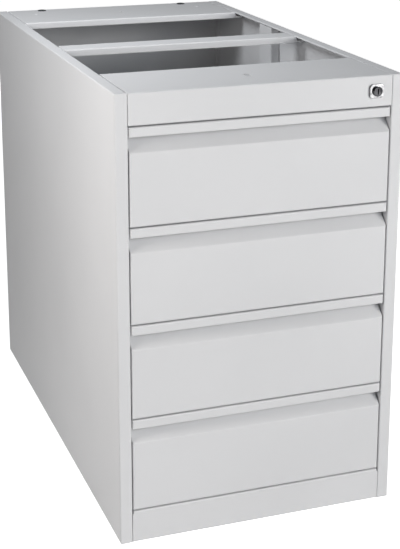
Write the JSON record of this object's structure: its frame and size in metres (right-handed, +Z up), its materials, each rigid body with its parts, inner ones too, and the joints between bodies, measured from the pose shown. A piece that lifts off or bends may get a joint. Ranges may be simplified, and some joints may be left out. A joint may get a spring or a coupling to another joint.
{
  "type": "drawer pedestal",
  "caption": "Tall steel drawer pedestal for under a laboratory bench: sliding drawers with folded finger-groove fronts, a lock in the top rail and an open top.",
  "frame": {"origin": "on the floor, under the middle of the overall box, lock face included", "axes": "+X to the right seen from in front, +Y back from the drawer fronts, +Z up; drawers open along -Y"},
  "size_m": [0.42, 0.7566, 0.65],
  "materials": {
    "light_grey_paint": "fine powder coat, semi-matt",
    "zinc_plated_steel": "bright zinc plate",
    "rivet_steel": "plain rivets",
    "black_chrome": "dark polished chrome"
  },
  "bodies": {
    "cabinet": {"left_side_panel": "light_grey_paint", "right_side_panel": "light_grey_paint", "left_front_post": "light_grey_paint", "right_front_post": "light_grey_paint", "left_rear_post": "light_grey_paint", "right_rear_post": "light_grey_paint", "lock_rail": "light_grey_paint", "cross_rail": "light_grey_paint", "rear_top_pan": "light_grey_paint", "plinth_rail": "light_grey_paint", "base_panel": "light_grey_paint", "back_panel": "light_grey_paint", "runner_rivets": "rivet_steel", "lock_housing": "black_chrome", "lock_nut": "zinc_plated_steel", "lock_bar_guides": "zinc_plated_steel", "left_cabinet_runner_1": "zinc_plated_steel", "right_cabinet_runner_1": "zinc_plated_steel", "left_cabinet_runner_2": "zinc_plated_steel", "right_cabinet_runner_2": "zinc_plated_steel", "left_cabinet_runner_3": "zinc_plated_steel", "right_cabinet_runner_3": "zinc_plated_steel", "left_cabinet_runner_4": "zinc_plated_steel", "right_cabinet_runner_4": "zinc_plated_steel"},
    "drawer_1": {"drawer_front_1": "light_grey_paint", "drawer_body_1": "light_grey_paint", "drawer_rivets_1": "rivet_steel", "drawer_catch_1": "zinc_plated_steel", "left_drawer_runner_1": "zinc_plated_steel", "right_drawer_runner_1": "zinc_plated_steel"},
    "runner_middle_1": {"left_middle_runner_1": "zinc_plated_steel", "right_middle_runner_1": "zinc_plated_steel"},
    "drawer_2": {"drawer_front_2": "light_grey_paint", "drawer_body_2": "light_grey_paint", "drawer_rivets_2": "rivet_steel", "drawer_catch_2": "zinc_plated_steel", "left_drawer_runner_2": "zinc_plated_steel", "right_drawer_runner_2": "zinc_plated_steel"},
    "runner_middle_2": {"left_middle_runner_2": "zinc_plated_steel", "right_middle_runner_2": "zinc_plated_steel"},
    "drawer_3": {"drawer_front_3": "light_grey_paint", "drawer_body_3": "light_grey_paint", "drawer_rivets_3": "rivet_steel", "drawer_catch_3": "zinc_plated_steel", "left_drawer_runner_3": "zinc_plated_steel", "right_drawer_runner_3": "zinc_plated_steel"},
    "runner_middle_3": {"left_middle_runner_3": "zinc_plated_steel", "right_middle_runner_3": "zinc_plated_steel"},
    "drawer_4": {"drawer_front_4": "light_grey_paint", "drawer_body_4": "light_grey_paint", "drawer_rivets_4": "rivet_steel", "drawer_catch_4": "zinc_plated_steel", "left_drawer_runner_4": "zinc_plated_steel", "right_drawer_runner_4": "zinc_plated_steel"},
    "runner_middle_4": {"left_middle_runner_4": "zinc_plated_steel", "right_middle_runner_4": "zinc_plated_steel"},
    "lock_plug": {"lock_plug": "black_chrome", "lock_cam": "zinc_plated_steel"},
    "lock_bar": {"lock_bar": "zinc_plated_steel"}
  },
  "joints": [
    {"name": "drawer_1_slide", "type": "slide", "parent": "cabinet", "child": "drawer_1", "axis": [0, -1, 0], "range_m": [0, 0.5]},
    {"name": "runner_middle_1_slide", "type": "slide", "parent": "cabinet", "child": "runner_middle_1", "axis": [0, -1, 0], "range_m": [0, 0.25]},
    {"name": "drawer_2_slide", "type": "slide", "parent": "cabinet", "child": "drawer_2", "axis": [0, -1, 0], "range_m": [0, 0.5]},
    {"name": "runner_middle_2_slide", "type": "slide", "parent": "cabinet", "child": "runner_middle_2", "axis": [0, -1, 0], "range_m": [0, 0.25]},
    {"name": "drawer_3_slide", "type": "slide", "parent": "cabinet", "child": "drawer_3", "axis": [0, -1, 0], "range_m": [0, 0.5]},
    {"name": "runner_middle_3_slide", "type": "slide", "parent": "cabinet", "child": "runner_middle_3", "axis": [0, -1, 0], "range_m": [0, 0.25]},
    {"name": "drawer_4_slide", "type": "slide", "parent": "cabinet", "child": "drawer_4", "axis": [0, -1, 0], "range_m": [0, 0.5]},
    {"name": "runner_middle_4_slide", "type": "slide", "parent": "cabinet", "child": "runner_middle_4", "axis": [0, -1, 0], "range_m": [0, 0.25]},
    {"name": "lock_turn", "type": "hinge", "parent": "cabinet", "child": "lock_plug", "pos_m": [0.1675, -0.37175, 0.6285], "axis": [0, -1, 0], "range_deg": [0, 90]},
    {"name": "lock_bar_lift", "type": "slide", "parent": "cabinet", "child": "lock_bar", "axis": [0, 0, 1], "range_m": [0, 0.01]}
  ],
  "couplings": [
    {"joint": "runner_middle_1_slide", "follows": "drawer_1_slide", "ratio": 0.5},
    {"joint": "runner_middle_2_slide", "follows": "drawer_2_slide", "ratio": 0.5},
    {"joint": "runner_middle_3_slide", "follows": "drawer_3_slide", "ratio": 0.5},
    {"joint": "runner_middle_4_slide", "follows": "drawer_4_slide", "ratio": 0.5},
    {"joint": "lock_bar_lift", "follows": "lock_turn", "m_per_rad": 0.0063025}
  ]
}
